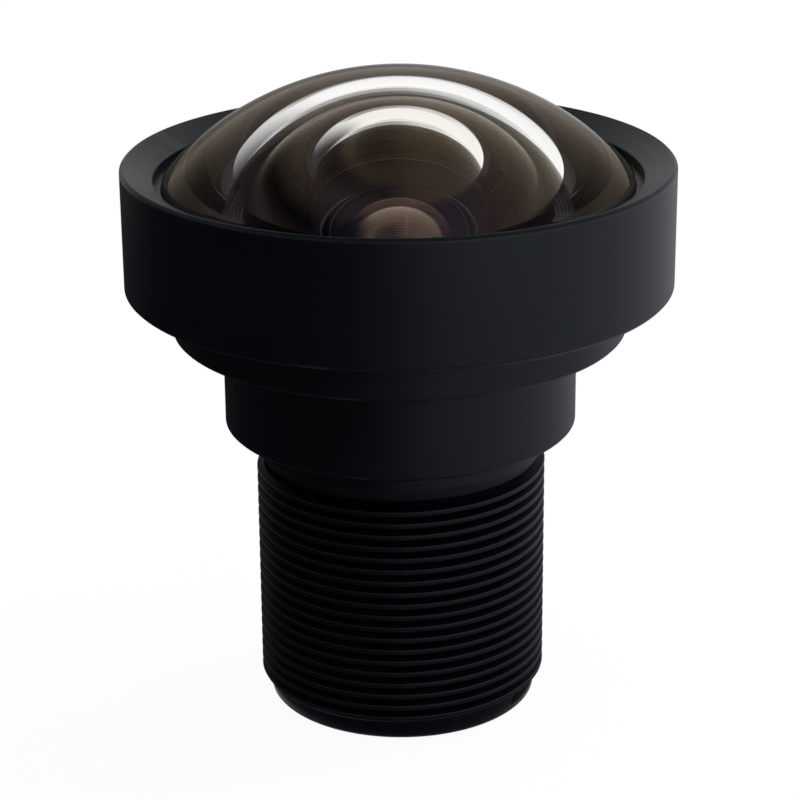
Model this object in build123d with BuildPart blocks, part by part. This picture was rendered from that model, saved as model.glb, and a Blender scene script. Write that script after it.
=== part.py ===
"""Ultra-wide M12 (S-mount) board lens, built piece by piece.

The lens stands on the rear end of its threaded barrel.  The optical axis is +Z and the
scene it looks at is above.  The origin is the centre of the rear end face.  Millimetres.
"""
from build123d import *
from math import radians, sqrt, tan
import os

os.makedirs("parts", exist_ok=True)

# Mount thread, M12 x 0.5, right-handed
THREAD_PITCH = 0.5
THREAD_CREST_R = 5.95
THREAD_ROOT_R = 5.68
THREAD_FLANK_ANGLE = 30
THREAD_LOW_Z = 0.7
THREAD_TOP_Z = 10.3

# Outside of the barrel, from the rear end up
PILOT_R = 5.55
PILOT_TOP_Z = 0.45
LEAD_IN_TOP_Z = 1.0
NECK_R = 5.98
NECK_LOW_Z = 10.45
COLLAR_R = 7.18
COLLAR_LOW_Z = 11.95
STEP_R = 9.18
STEP_LOW_Z = 15.96
HEAD_R = 10.55
HEAD_LOW_Z = 17.82
HEAD_TOP_Z = 21.9
EDGE_CHAMFER = 0.15
TIP_CHAMFER = 0.1

# Inside of the barrel, from the front down
FRONT_SEAT_R = 9.97
FRONT_SEAT_Z = 20.9
SEAL_GROOVE_OUT_R = 8.95
SEAL_GROOVE_IN_R = 8.2
SEAL_GROOVE_DEPTH = 0.5
RING_BORE_R = 7.6
RING_BORE_Z = 19.5
SECOND_BORE_R = 6.97
FRONT_BORE_R = 6.42
WEB_TOP_Z = 13.0
WEB_LOW_Z = 12.3
WEB_BORE_R = 4.2
REAR_BORE_R = 5.02
BORE_PLAY = 0.02

# Front retaining ring
CAP_R = 11.06
CAP_TOP_Z = 22.93
CAP_LIP_R = 9.75
CAP_LIP_TOP_Z = 22.35
CAP_LIP_LOW_Z = 21.95

# Front element, a strong negative meniscus
DOME_RADIUS = 12.74
DOME_TOP_Z = 26.42
DOME_EDGE_R = 9.34
DOME_BEVEL = 0.12
DOME_THICKNESS = 1.32
DOME_REAR_RADIUS = 8.05
DOME_FLANGE_CHAMFER = 0.1
SEAL_WIDTH = 0.65
SEAL_CORNER = 0.2

# Inner retaining ring
INNER_RING_TOP_Z = 20.75
INNER_RING_LOW_R = 6.5
INNER_RING_TOP_R = 7.1
INNER_RING_FIRST_STEP_Z = 19.95
INNER_RING_STEPS = 5
SPANNER_SLOT_WIDTH = 0.9
SPANNER_SLOT_DEPTH = 0.5

# Second element, convex in front and deeply hollow behind
SECOND_TOP_Z = 24.48
SECOND_FRONT_RADIUS = 7.4
SECOND_FRONT_R = 6.4
SECOND_EDGE_HIGH_Z = 19.7
SECOND_EDGE_LOW_Z = 19.0
SECOND_REAR_RADIUS = 4.1
SECOND_REAR_APEX_Z = 22.87

# Third element, convex in front and hollow behind
THIRD_TOP_Z = 18.6
THIRD_FRONT_RADIUS = 6.05
THIRD_FRONT_R = 4.35
THIRD_EDGE_HIGH_Z = 16.65
THIRD_EDGE_LOW_Z = 15.5
THIRD_REAR_RADIUS = 4.9
THIRD_REAR_APEX_Z = 17.5

# Fourth element, convex on both sides
FOURTH_EDGE_LOW_Z = 10.6
FOURTH_FRONT_RADIUS = 9.0
FOURTH_FRONT_R = 4.0
FOURTH_REAR_RADIUS = 11.0
FOURTH_REAR_R = 4.2

# Aperture stop
STOP_TOP_Z = 9.2
STOP_LOW_Z = 9.1
STOP_HOLE_R = 1.1

# Fifth element, convex on both sides
FIFTH_EDGE_HIGH_Z = 8.3
FIFTH_EDGE_LOW_Z = 6.7
FIFTH_FRONT_RADIUS = 16.0
FIFTH_FRONT_R = 3.7
FIFTH_REAR_RADIUS = 8.0
FIFTH_REAR_R = 3.9

# Sixth and seventh elements, cemented together
SIXTH_EDGE_HIGH_Z = 6.3
SIXTH_EDGE_LOW_Z = 3.3
SIXTH_FRONT_RADIUS = 7.5
SIXTH_FRONT_R = 3.9
CEMENTED_RADIUS = 7.0
SEVENTH_R = 4.2
SEVENTH_EDGE_LOW_Z = 2.9
SEVENTH_REAR_RADIUS = 9.0

# Light shields and spacers: the clear radius at the top and at the bottom of each
SHIELD_THICKNESS = 0.1
SPACER_TOP_Z = SECOND_EDGE_LOW_Z - SHIELD_THICKNESS
FRONT_SHIELD_CLEAR = (4.2, 4.2)
FRONT_SPACER_CLEAR = (4.8, 4.6)
MIDDLE_SHIELD_CLEAR = (4.45, 4.45)
WEB_SPACER_CLEAR = (4.3, 4.3)
MIDDLE_SPACER_CLEAR = (4.4, 2.6)
STOP_SPACER_CLEAR = (3.2, 3.9)
REAR_SHIELD_CLEAR = (3.95, 3.95)
DOUBLET_SPACER_CLEAR = (4.2, 4.2)

# Rear retaining ring, with the filter glued into its rear face
REAR_RING_LOW_Z = 0.3
REAR_RING_CLEAR_R = 4.3
REAR_RING_CONE_TOP_Z = 2.5
REAR_RING_BORE_R = 3.4
REAR_RING_CONE_LOW_Z = 1.6
FILTER_SEAT_Z = 0.8
FILTER_RECESS_R = 4.35
FILTER_R = 4.1
FILTER_THICKNESS = 0.35
FILTER_CHAMFER = 0.05
ADHESIVE_LOW_Z = 0.4

# Radii that follow from the bores
SECOND_R = SECOND_BORE_R - BORE_PLAY
FRONT_STACK_R = FRONT_BORE_R - BORE_PLAY
REAR_STACK_R = REAR_BORE_R - BORE_PLAY
DOME_FLANGE_R = FRONT_SEAT_R - BORE_PLAY


def sag(radius, r):
    """Depth of a sphere of that radius at distance r from the axis."""
    return radius - sqrt(radius**2 - r**2)


def crown(apex_z, radius, r):
    """Arc from the axis out to r, highest on the axis."""
    middle_r = r / 2
    middle = (middle_r, apex_z - sag(radius, middle_r))
    return ThreePointArc((0, apex_z), middle, (r, apex_z - sag(radius, r)))


def dish(apex_z, radius, r):
    """Arc from the axis out to r, lowest on the axis."""
    middle_r = r / 2
    middle = (middle_r, apex_z + sag(radius, middle_r))
    return ThreePointArc((0, apex_z), middle, (r, apex_z + sag(radius, r)))


def save(builder, name):
    """Label a finished piece and write it out."""
    builder.part.label = name
    export_step(builder.part, f"parts/{name}.step")


def plain_ring(name, outer_r, clear, low_z, high_z):
    """A turned ring whose hole tapers from clear[0] at the top to clear[1] at the bottom."""
    top_r, low_r = clear
    with BuildPart() as ring:
        with BuildSketch(Plane.XZ):
            with BuildLine():
                Polyline(
                    (low_r, low_z), (outer_r, low_z), (outer_r, high_z), (top_r, high_z), close=True
                )
            make_face()
        revolve(axis=Axis.Z)
    save(ring, name)


# The thread's ridge: a 60 degree section swept along the helix, its foot sunk into the core
ridge_height = THREAD_CREST_R - THREAD_ROOT_R
foot_sink = 0.08
crest_half = THREAD_PITCH / 16
foot_half = crest_half + (ridge_height + foot_sink) * tan(radians(THREAD_FLANK_ANGLE))
with BuildPart() as thread_ridge:
    with BuildLine() as thread_path:
        Helix(
            pitch=THREAD_PITCH,
            height=THREAD_TOP_Z - THREAD_LOW_Z,
            radius=THREAD_ROOT_R,
            center=(0, 0, THREAD_LOW_Z),
        )
    thread_line = thread_path.line
    with BuildSketch(Plane(origin=thread_line @ 0, x_dir=(1, 0, 0), z_dir=thread_line % 0)):
        with BuildLine():
            Polyline(
                (-foot_sink, -foot_half),
                (ridge_height, -crest_half),
                (ridge_height, crest_half),
                (-foot_sink, foot_half),
                close=True,
            )
        make_face()
    sweep(path=thread_line, is_frenet=True)

# Main barrel: thread, neck, collar, step and head turned from one bar
with BuildPart() as main_barrel:
    with BuildSketch(Plane.XZ):
        with BuildLine():
            Polyline(
                (REAR_BORE_R, 0),
                (THREAD_ROOT_R, 0),
                (THREAD_ROOT_R, NECK_LOW_Z),
                (NECK_R, NECK_LOW_Z),
                (NECK_R, COLLAR_LOW_Z),
                (COLLAR_R - EDGE_CHAMFER, COLLAR_LOW_Z),
                (COLLAR_R, COLLAR_LOW_Z + EDGE_CHAMFER),
                (COLLAR_R, STEP_LOW_Z),
                (STEP_R - EDGE_CHAMFER, STEP_LOW_Z),
                (STEP_R, STEP_LOW_Z + EDGE_CHAMFER),
                (STEP_R, HEAD_LOW_Z),
                (HEAD_R, HEAD_LOW_Z),
                (HEAD_R, HEAD_TOP_Z),
                (FRONT_SEAT_R, HEAD_TOP_Z),
                (FRONT_SEAT_R, FRONT_SEAT_Z),
                (SEAL_GROOVE_OUT_R, FRONT_SEAT_Z),
                (SEAL_GROOVE_OUT_R, FRONT_SEAT_Z - SEAL_GROOVE_DEPTH),
                (SEAL_GROOVE_IN_R, FRONT_SEAT_Z - SEAL_GROOVE_DEPTH),
                (SEAL_GROOVE_IN_R, FRONT_SEAT_Z),
                (RING_BORE_R, FRONT_SEAT_Z),
                (RING_BORE_R, RING_BORE_Z),
                (SECOND_BORE_R, RING_BORE_Z),
                (SECOND_BORE_R, SECOND_EDGE_LOW_Z),
                (FRONT_BORE_R, SECOND_EDGE_LOW_Z),
                (FRONT_BORE_R, WEB_TOP_Z),
                (WEB_BORE_R, WEB_TOP_Z),
                (WEB_BORE_R, WEB_LOW_Z),
                (REAR_BORE_R, WEB_LOW_Z),
                close=True,
            )
        make_face()
    revolve(axis=Axis.Z)
    add(thread_ridge.part)
    # The pilot and the lead-in cone are turned last, across the first turn of the thread
    clear_r = THREAD_CREST_R + 1.0
    with BuildSketch(Plane.XZ):
        with BuildLine():
            Polyline(
                (PILOT_R - 2 * TIP_CHAMFER, -TIP_CHAMFER),
                (clear_r, -TIP_CHAMFER),
                (clear_r, LEAD_IN_TOP_Z),
                (THREAD_CREST_R, LEAD_IN_TOP_Z),
                (PILOT_R, PILOT_TOP_Z),
                (PILOT_R, TIP_CHAMFER),
                close=True,
            )
        make_face()
    revolve(axis=Axis.Z, mode=Mode.SUBTRACT)
save(main_barrel, "main_barrel")

# Front retaining ring: a screwed-on cap whose sloped lip holds the front element
with BuildPart() as front_retaining_ring:
    with BuildSketch(Plane.XZ):
        with BuildLine():
            Polyline(
                (HEAD_R, HEAD_LOW_Z),
                (CAP_R - EDGE_CHAMFER, HEAD_LOW_Z),
                (CAP_R, HEAD_LOW_Z + EDGE_CHAMFER),
                (CAP_R, CAP_TOP_Z - EDGE_CHAMFER),
                (CAP_R - EDGE_CHAMFER, CAP_TOP_Z),
                (CAP_LIP_R, CAP_LIP_TOP_Z),
                (CAP_LIP_R, CAP_LIP_LOW_Z),
                (HEAD_R, CAP_LIP_LOW_Z),
                close=True,
            )
        make_face()
    revolve(axis=Axis.Z)
save(front_retaining_ring, "front_retaining_ring")

# Front element: domed outside, deeply hollow behind, flat flange
dome_edge_z = DOME_TOP_Z - sag(DOME_RADIUS, DOME_EDGE_R)
dome_hollow_z = DOME_TOP_Z - DOME_THICKNESS
dome_hollow_centre_z = dome_hollow_z - DOME_REAR_RADIUS
dome_hollow_r = sqrt(DOME_REAR_RADIUS**2 - (FRONT_SEAT_Z - dome_hollow_centre_z) ** 2)
with BuildPart() as front_element:
    with BuildSketch(Plane.XZ):
        with BuildLine():
            Line((0, dome_hollow_z), (0, DOME_TOP_Z))
            crown(DOME_TOP_Z, DOME_RADIUS, DOME_EDGE_R)
            Polyline(
                (DOME_EDGE_R, dome_edge_z),
                (DOME_EDGE_R + DOME_BEVEL, CAP_LIP_LOW_Z),
                (DOME_FLANGE_R, CAP_LIP_LOW_Z),
                (DOME_FLANGE_R, FRONT_SEAT_Z + DOME_FLANGE_CHAMFER),
                (DOME_FLANGE_R - DOME_FLANGE_CHAMFER, FRONT_SEAT_Z),
                (dome_hollow_r, FRONT_SEAT_Z),
            )
            crown(dome_hollow_z, DOME_REAR_RADIUS, dome_hollow_r)
        make_face()
    revolve(axis=Axis.Z)
save(front_element, "front_element")

# Front O-ring, squeezed between its groove and the front element's flange
seal_mid_r = (SEAL_GROOVE_OUT_R + SEAL_GROOVE_IN_R) / 2
seal_mid_z = FRONT_SEAT_Z - SEAL_GROOVE_DEPTH / 2
with BuildPart() as front_o_ring:
    with BuildSketch(Plane.XZ):
        with Locations((seal_mid_r, seal_mid_z)):
            RectangleRounded(SEAL_WIDTH, SEAL_GROOVE_DEPTH, SEAL_CORNER)
    revolve(axis=Axis.Z)
save(front_o_ring, "front_o_ring")

# Inner retaining ring: a flare of fine steps that kills stray light, and two spanner slots
stair_width = (INNER_RING_TOP_R - INNER_RING_LOW_R) / INNER_RING_STEPS
stair_height = (INNER_RING_TOP_Z - INNER_RING_FIRST_STEP_Z) / INNER_RING_STEPS
stair = []
for step in range(INNER_RING_STEPS):
    step_z = INNER_RING_FIRST_STEP_Z + step * stair_height
    stair.append((INNER_RING_LOW_R + step * stair_width, step_z))
    stair.append((INNER_RING_LOW_R + (step + 1) * stair_width, step_z))
with BuildPart() as inner_retaining_ring:
    with BuildSketch(Plane.XZ):
        with BuildLine():
            Polyline(
                (INNER_RING_LOW_R, SECOND_EDGE_HIGH_Z),
                *stair,
                (INNER_RING_TOP_R, INNER_RING_TOP_Z),
                (RING_BORE_R, INNER_RING_TOP_Z),
                (RING_BORE_R, SECOND_EDGE_HIGH_Z),
                close=True,
            )
        make_face()
    revolve(axis=Axis.Z)
    with BuildSketch(Plane.XY.offset(INNER_RING_TOP_Z)):
        Rectangle(3 * RING_BORE_R, SPANNER_SLOT_WIDTH)
        Circle(INNER_RING_TOP_R - stair_width, mode=Mode.SUBTRACT)
    extrude(amount=-SPANNER_SLOT_DEPTH, mode=Mode.SUBTRACT)
save(inner_retaining_ring, "inner_retaining_ring")

# Second element
second_rear_centre_z = SECOND_REAR_APEX_Z - SECOND_REAR_RADIUS
second_rear_r = sqrt(SECOND_REAR_RADIUS**2 - (SECOND_EDGE_LOW_Z - second_rear_centre_z) ** 2)
with BuildPart() as second_element:
    with BuildSketch(Plane.XZ):
        with BuildLine():
            Line((0, SECOND_REAR_APEX_Z), (0, SECOND_TOP_Z))
            crown(SECOND_TOP_Z, SECOND_FRONT_RADIUS, SECOND_FRONT_R)
            Polyline(
                (SECOND_FRONT_R, SECOND_TOP_Z - sag(SECOND_FRONT_RADIUS, SECOND_FRONT_R)),
                (SECOND_FRONT_R, SECOND_EDGE_HIGH_Z),
                (SECOND_R, SECOND_EDGE_HIGH_Z),
                (SECOND_R, SECOND_EDGE_LOW_Z),
                (second_rear_r, SECOND_EDGE_LOW_Z),
            )
            crown(SECOND_REAR_APEX_Z, SECOND_REAR_RADIUS, second_rear_r)
        make_face()
    revolve(axis=Axis.Z)
save(second_element, "second_element")

# Light shield, spacer and light shield between the second and third elements
shield_top_z = THIRD_EDGE_HIGH_Z + SHIELD_THICKNESS
plain_ring("front_light_shield", FRONT_STACK_R, FRONT_SHIELD_CLEAR, SPACER_TOP_Z, SECOND_EDGE_LOW_Z)
plain_ring("front_spacer", FRONT_STACK_R, FRONT_SPACER_CLEAR, shield_top_z, SPACER_TOP_Z)
plain_ring(
    "middle_light_shield", FRONT_STACK_R, MIDDLE_SHIELD_CLEAR, THIRD_EDGE_HIGH_Z, shield_top_z
)

# Third element, and the spacer that carries it on the barrel's web
third_rear_centre_z = THIRD_REAR_APEX_Z - THIRD_REAR_RADIUS
third_rear_r = sqrt(THIRD_REAR_RADIUS**2 - (THIRD_EDGE_LOW_Z - third_rear_centre_z) ** 2)
with BuildPart() as third_element:
    with BuildSketch(Plane.XZ):
        with BuildLine():
            Line((0, THIRD_REAR_APEX_Z), (0, THIRD_TOP_Z))
            crown(THIRD_TOP_Z, THIRD_FRONT_RADIUS, THIRD_FRONT_R)
            Polyline(
                (THIRD_FRONT_R, THIRD_TOP_Z - sag(THIRD_FRONT_RADIUS, THIRD_FRONT_R)),
                (THIRD_FRONT_R, THIRD_EDGE_HIGH_Z),
                (FRONT_STACK_R, THIRD_EDGE_HIGH_Z),
                (FRONT_STACK_R, THIRD_EDGE_LOW_Z),
                (third_rear_r, THIRD_EDGE_LOW_Z),
            )
            crown(THIRD_REAR_APEX_Z, THIRD_REAR_RADIUS, third_rear_r)
        make_face()
    revolve(axis=Axis.Z)
save(third_element, "third_element")
plain_ring("web_spacer", FRONT_STACK_R, WEB_SPACER_CLEAR, WEB_TOP_Z, THIRD_EDGE_LOW_Z)

# Fourth element, against the underside of the web
fourth_front_z = WEB_LOW_Z + sag(FOURTH_FRONT_RADIUS, FOURTH_FRONT_R)
fourth_rear_z = FOURTH_EDGE_LOW_Z - sag(FOURTH_REAR_RADIUS, FOURTH_REAR_R)
with BuildPart() as fourth_element:
    with BuildSketch(Plane.XZ):
        with BuildLine():
            Line((0, fourth_rear_z), (0, fourth_front_z))
            crown(fourth_front_z, FOURTH_FRONT_RADIUS, FOURTH_FRONT_R)
            Polyline(
                (FOURTH_FRONT_R, WEB_LOW_Z),
                (REAR_STACK_R, WEB_LOW_Z),
                (REAR_STACK_R, FOURTH_EDGE_LOW_Z),
                (FOURTH_REAR_R, FOURTH_EDGE_LOW_Z),
            )
            dish(fourth_rear_z, FOURTH_REAR_RADIUS, FOURTH_REAR_R)
        make_face()
    revolve(axis=Axis.Z)
save(fourth_element, "fourth_element")

plain_ring("middle_spacer", REAR_STACK_R, MIDDLE_SPACER_CLEAR, STOP_TOP_Z, FOURTH_EDGE_LOW_Z)

# Aperture stop: a thin blackened disc with the lens's fixed aperture
with BuildPart() as aperture_stop:
    with BuildSketch(Plane.XY.offset(STOP_LOW_Z)):
        Circle(REAR_STACK_R)
        Circle(STOP_HOLE_R, mode=Mode.SUBTRACT)
    extrude(amount=STOP_TOP_Z - STOP_LOW_Z)
save(aperture_stop, "aperture_stop")

plain_ring("stop_spacer", REAR_STACK_R, STOP_SPACER_CLEAR, FIFTH_EDGE_HIGH_Z, STOP_LOW_Z)

# Fifth element
fifth_front_z = FIFTH_EDGE_HIGH_Z + sag(FIFTH_FRONT_RADIUS, FIFTH_FRONT_R)
fifth_rear_z = FIFTH_EDGE_LOW_Z - sag(FIFTH_REAR_RADIUS, FIFTH_REAR_R)
with BuildPart() as fifth_element:
    with BuildSketch(Plane.XZ):
        with BuildLine():
            Line((0, fifth_rear_z), (0, fifth_front_z))
            crown(fifth_front_z, FIFTH_FRONT_RADIUS, FIFTH_FRONT_R)
            Polyline(
                (FIFTH_FRONT_R, FIFTH_EDGE_HIGH_Z),
                (REAR_STACK_R, FIFTH_EDGE_HIGH_Z),
                (REAR_STACK_R, FIFTH_EDGE_LOW_Z),
                (FIFTH_REAR_R, FIFTH_EDGE_LOW_Z),
            )
            dish(fifth_rear_z, FIFTH_REAR_RADIUS, FIFTH_REAR_R)
        make_face()
    revolve(axis=Axis.Z)
save(fifth_element, "fifth_element")

rear_shield_low_z = FIFTH_EDGE_LOW_Z - SHIELD_THICKNESS
plain_ring(
    "rear_light_shield", REAR_STACK_R, REAR_SHIELD_CLEAR, rear_shield_low_z, FIFTH_EDGE_LOW_Z
)
plain_ring(
    "doublet_spacer", REAR_STACK_R, DOUBLET_SPACER_CLEAR, SIXTH_EDGE_HIGH_Z, rear_shield_low_z
)

# Sixth element, whose hollow rear holds the seventh
sixth_front_z = SIXTH_EDGE_HIGH_Z - sag(SIXTH_FRONT_RADIUS, SIXTH_FRONT_R)
cemented_z = SIXTH_EDGE_LOW_Z + sag(CEMENTED_RADIUS, SEVENTH_R)
with BuildPart() as sixth_element:
    with BuildSketch(Plane.XZ):
        with BuildLine():
            Line((0, cemented_z), (0, sixth_front_z))
            dish(sixth_front_z, SIXTH_FRONT_RADIUS, SIXTH_FRONT_R)
            Polyline(
                (SIXTH_FRONT_R, SIXTH_EDGE_HIGH_Z),
                (REAR_STACK_R, SIXTH_EDGE_HIGH_Z),
                (REAR_STACK_R, SIXTH_EDGE_LOW_Z),
                (SEVENTH_R, SIXTH_EDGE_LOW_Z),
            )
            crown(cemented_z, CEMENTED_RADIUS, SEVENTH_R)
        make_face()
    revolve(axis=Axis.Z)
save(sixth_element, "sixth_element")

# Seventh element, cemented into the sixth
seventh_rear_z = SEVENTH_EDGE_LOW_Z - sag(SEVENTH_REAR_RADIUS, SEVENTH_R)
with BuildPart() as seventh_element:
    with BuildSketch(Plane.XZ):
        with BuildLine():
            Line((0, seventh_rear_z), (0, cemented_z))
            crown(cemented_z, CEMENTED_RADIUS, SEVENTH_R)
            Line((SEVENTH_R, SIXTH_EDGE_LOW_Z), (SEVENTH_R, SEVENTH_EDGE_LOW_Z))
            dish(seventh_rear_z, SEVENTH_REAR_RADIUS, SEVENTH_R)
        make_face()
    revolve(axis=Axis.Z)
save(seventh_element, "seventh_element")

# Rear retaining ring: clamps the rear stack, carries the filter, has two spanner slots
with BuildPart() as rear_retaining_ring:
    with BuildSketch(Plane.XZ):
        with BuildLine():
            Polyline(
                (FILTER_RECESS_R, REAR_RING_LOW_Z),
                (REAR_BORE_R, REAR_RING_LOW_Z),
                (REAR_BORE_R, SIXTH_EDGE_LOW_Z),
                (REAR_RING_CLEAR_R, SIXTH_EDGE_LOW_Z),
                (REAR_RING_CLEAR_R, REAR_RING_CONE_TOP_Z),
                (REAR_RING_BORE_R, REAR_RING_CONE_LOW_Z),
                (REAR_RING_BORE_R, FILTER_SEAT_Z),
                (FILTER_RECESS_R, FILTER_SEAT_Z),
                close=True,
            )
        make_face()
    revolve(axis=Axis.Z)
    with BuildSketch(Plane.XY.offset(REAR_RING_LOW_Z)):
        Rectangle(3 * REAR_BORE_R, SPANNER_SLOT_WIDTH)
        Circle(FILTER_RECESS_R, mode=Mode.SUBTRACT)
    extrude(amount=SPANNER_SLOT_DEPTH, mode=Mode.SUBTRACT)
save(rear_retaining_ring, "rear_retaining_ring")

# Infrared-cut filter
filter_low_z = FILTER_SEAT_Z - FILTER_THICKNESS
with BuildPart() as ir_cut_filter:
    with BuildSketch(Plane.XY.offset(filter_low_z)):
        Circle(FILTER_R)
    extrude(amount=FILTER_THICKNESS)
    chamfer(ir_cut_filter.edges().filter_by(GeomType.CIRCLE), length=FILTER_CHAMFER)
save(ir_cut_filter, "ir_cut_filter")

# Bead of adhesive round the filter
with BuildPart() as filter_adhesive:
    with BuildSketch(Plane.XZ):
        with BuildLine():
            Polyline(
                (FILTER_R, filter_low_z + FILTER_CHAMFER),
                (FILTER_RECESS_R, ADHESIVE_LOW_Z),
                (FILTER_RECESS_R, FILTER_SEAT_Z),
                (FILTER_R, FILTER_SEAT_Z),
                close=True,
            )
        make_face()
    revolve(axis=Axis.Z)
save(filter_adhesive, "filter_adhesive")
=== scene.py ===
"""Looks of the ultra-wide S-mount lens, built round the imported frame. Metres."""
import math

import bmesh
import bpy
from mathutils import Matrix, Vector


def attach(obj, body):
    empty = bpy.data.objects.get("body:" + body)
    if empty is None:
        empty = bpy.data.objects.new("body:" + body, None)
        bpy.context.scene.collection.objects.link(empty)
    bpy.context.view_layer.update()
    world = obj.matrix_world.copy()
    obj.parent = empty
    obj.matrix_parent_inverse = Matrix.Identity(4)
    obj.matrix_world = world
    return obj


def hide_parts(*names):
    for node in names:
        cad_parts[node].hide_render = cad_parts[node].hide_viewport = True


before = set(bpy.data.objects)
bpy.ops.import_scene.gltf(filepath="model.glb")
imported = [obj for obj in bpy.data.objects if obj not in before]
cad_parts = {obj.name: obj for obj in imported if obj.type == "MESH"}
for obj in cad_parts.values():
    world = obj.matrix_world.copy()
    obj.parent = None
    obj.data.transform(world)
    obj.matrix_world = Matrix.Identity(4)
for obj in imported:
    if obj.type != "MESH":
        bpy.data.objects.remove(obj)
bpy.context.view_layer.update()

# A millimetre in metres, how finely turned pieces are divided round the axis and along a lens face,
# how near to the axis a point counts as on it, how much of a side a rounded corner may take, and how
# many times the room of its guard points a side needs before it gets them
MM = 0.001
SEGMENTS = 256
GLASS_STEPS = 96
ON_AXIS = 1e-6
CORNER_SHARE = 0.45
GUARD_ROOM = 4


# Curves of revolution: every profile is a list of (distance from the axis, height) in millimetres

def sag(radius, r):
    """Depth of a sphere of that radius at distance r from the axis."""
    return radius - math.sqrt(radius * radius - r * r)


def cap(apex_z, radius, r, steps=GLASS_STEPS):
    """A sphere's profile from the axis out to r: highest on the axis, or lowest if radius is negative."""
    sign = 1 if radius > 0 else -1
    points = []
    for i in range(steps + 1):
        at = r * i / steps
        points.append((at, apex_z - sign * sag(abs(radius), at)))
    return points


def hollow(apex_z, radius, seat_z, steps=GLASS_STEPS):
    """The profile of a hollow rear face, from the axis out to where it meets the flat seat."""
    rise = seat_z - (apex_z - radius)
    return cap(apex_z, radius, math.sqrt(radius**2 - rise**2), steps)


def bulge(edge_z, radius, r, steps):
    """The profile of a face whose edge is at that height and which rises, or sinks, towards the axis."""
    rise = sag(abs(radius), r)
    return cap(edge_z + rise if radius > 0 else edge_z - rise, radius, r, steps)


def eased(chain, ease, steps=4, guard=0.02):
    """Rounds the corners of an open chain of points, and adds guard points so that flats shade flat."""
    chain = [Vector(p) for p in chain]
    points = [chain[0]]
    for before, here, after in zip(chain, chain[1:], chain[2:]):
        back, on = before - here, after - here
        reach = min(ease, back.length * CORNER_SHARE, on.length * CORNER_SHARE)
        start, end = here + back.normalized() * reach, here + on.normalized() * reach
        if back.length > GUARD_ROOM * (reach + guard):
            points.append(here + back.normalized() * (reach + guard))
        for k in range(steps + 1):
            t = k / steps
            points.append(start * (1 - t) ** 2 + here * 2 * t * (1 - t) + end * t**2)
        if on.length > GUARD_ROOM * (reach + guard):
            points.append(here + on.normalized() * (reach + guard))
    points.append(chain[-1])
    return [(p.x, p.y) for p in points]


def new_piece(name, verts, faces, smooth_angle=30):
    """A mesh object with its faces turned outward and smooth across small angles."""
    mesh = bpy.data.meshes.new(name)
    mesh.from_pydata([(x * MM, y * MM, z * MM) for x, y, z in verts], [], faces)
    mesh.update()
    shell = bmesh.new()
    shell.from_mesh(mesh)
    bmesh.ops.recalc_face_normals(shell, faces=shell.faces)
    shell.to_mesh(mesh)
    shell.free()
    mesh.shade_smooth()
    mesh.set_sharp_from_angle(angle=math.radians(smooth_angle))
    piece = bpy.data.objects.new(name, mesh)
    bpy.context.scene.collection.objects.link(piece)
    return piece


def turned(name, profile, closed=True, smooth_angle=30, segments=SEGMENTS):
    """Revolves a profile about the optical axis. A point on the axis becomes one vertex."""
    verts, faces, rings = [], [], []
    for r, z in profile:
        if r < ON_AXIS:
            rings.append([len(verts)] * segments)
            verts.append((0, 0, z))
            continue
        rings.append(range(len(verts), len(verts) + segments))
        for i in range(segments):
            a = 2 * math.pi * i / segments
            verts.append((r * math.cos(a), r * math.sin(a), z))
    pairs = list(zip(rings, rings[1:]))
    if closed:
        pairs.append((rings[-1], rings[0]))
    for low, high in pairs:
        for i in range(segments):
            j = (i + 1) % segments
            corners = [low[i], low[j], high[j], high[i]]
            face = list(dict.fromkeys(corners))
            if len(face) > 2:
                faces.append(face)
    return new_piece(name, verts, faces, smooth_angle)


def stands_for(piece, node):
    """The piece replaces a CAD node and rides on the one body."""
    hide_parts(node)
    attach(piece, "root")
    return piece


# Materials

def new_material(name):
    """An empty node material with its Principled shader."""
    material = bpy.data.materials.new(name)
    material.use_nodes = True
    tree = material.node_tree
    return material, tree, tree.nodes["Principled BSDF"]


def node(tree, kind, **settings):
    """Adds a node and sets its inputs by name, and its properties by lower-case name."""
    made = tree.nodes.new("ShaderNode" + kind)
    for key, value in settings.items():
        if key in made.inputs:
            made.inputs[key].default_value = value
        else:
            setattr(made, key, value)
    return made


def place_and_flat(tree):
    """Object coordinates taken apart, and the vector from the axis out to that place."""
    place = node(tree, "TexCoord")
    split = node(tree, "SeparateXYZ")
    tree.links.new(place.outputs["Object"], split.inputs[0])
    flat = node(tree, "CombineXYZ")
    tree.links.new(split.outputs["X"], flat.inputs["X"])
    tree.links.new(split.outputs["Y"], flat.inputs["Y"])
    return split, flat.outputs[0]


def lathe_coordinates(tree, radial, axial, around):
    """Object coordinates as (distance from the axis, height, cosine of the angle), each to its own scale."""
    split, flat = place_and_flat(tree)
    length = node(tree, "VectorMath", operation="LENGTH")
    tree.links.new(flat, length.inputs[0])
    cosine = node(tree, "Math", operation="DIVIDE")
    tree.links.new(split.outputs["X"], cosine.inputs[0])
    tree.links.new(length.outputs["Value"], cosine.inputs[1])
    joined = node(tree, "CombineXYZ")
    sources = (length.outputs["Value"], split.outputs["Z"], cosine.outputs[0])
    for socket, source, scale in zip("XYZ", sources, (radial, axial, around)):
        scaled = node(tree, "Math", operation="MULTIPLY")
        scaled.inputs[1].default_value = scale
        tree.links.new(source, scaled.inputs[0])
        tree.links.new(scaled.outputs[0], joined.inputs[socket])
    return joined.outputs[0]


def smooth_step(tree, value, start, end, height=1.0):
    """Rises smoothly from 0 to that height while the value goes from start to end."""
    step = node(tree, "MapRange", interpolation_type="SMOOTHSTEP")
    step.inputs["From Min"].default_value = start
    step.inputs["From Max"].default_value = end
    step.inputs["To Max"].default_value = height
    tree.links.new(value, step.inputs["Value"])
    return step.outputs["Result"]


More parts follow.
